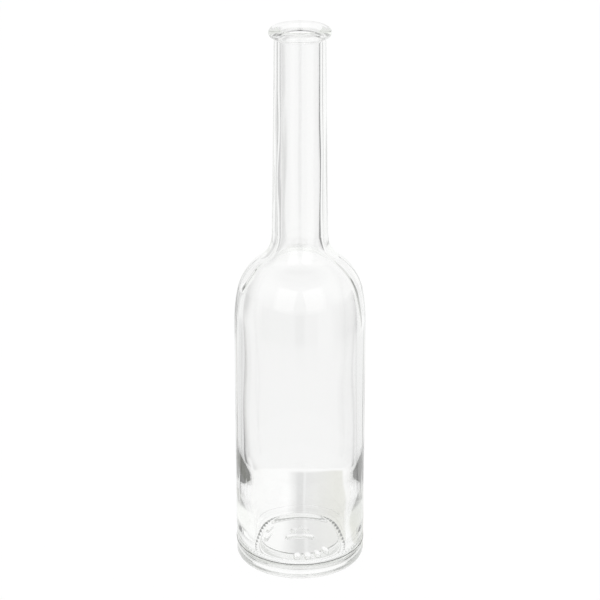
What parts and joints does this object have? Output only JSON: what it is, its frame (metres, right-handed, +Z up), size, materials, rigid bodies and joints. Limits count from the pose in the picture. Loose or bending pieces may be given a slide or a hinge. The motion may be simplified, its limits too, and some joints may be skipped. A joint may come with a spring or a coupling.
{
  "type": "glass bottle",
  "caption": "Clear glass liqueur bottle with a straight round body, soft shoulders, a long slim neck, a rounded lip and a cork mouth.",
  "frame": {"origin": "centre of the foot ring, on the surface that the bottle stands on", "axes": "+Z up along the bottle's axis, towards the mouth; -Y is the side seen in the picture"},
  "size_m": [0.0442, 0.0442, 0.1882],
  "materials": {
    "clear_glass": "clear flint glass, mould-blown, with a fire-polished lip"
  },
  "bodies": {
    "root": {"bottle": "clear_glass"}
  },
  "joints": []
}
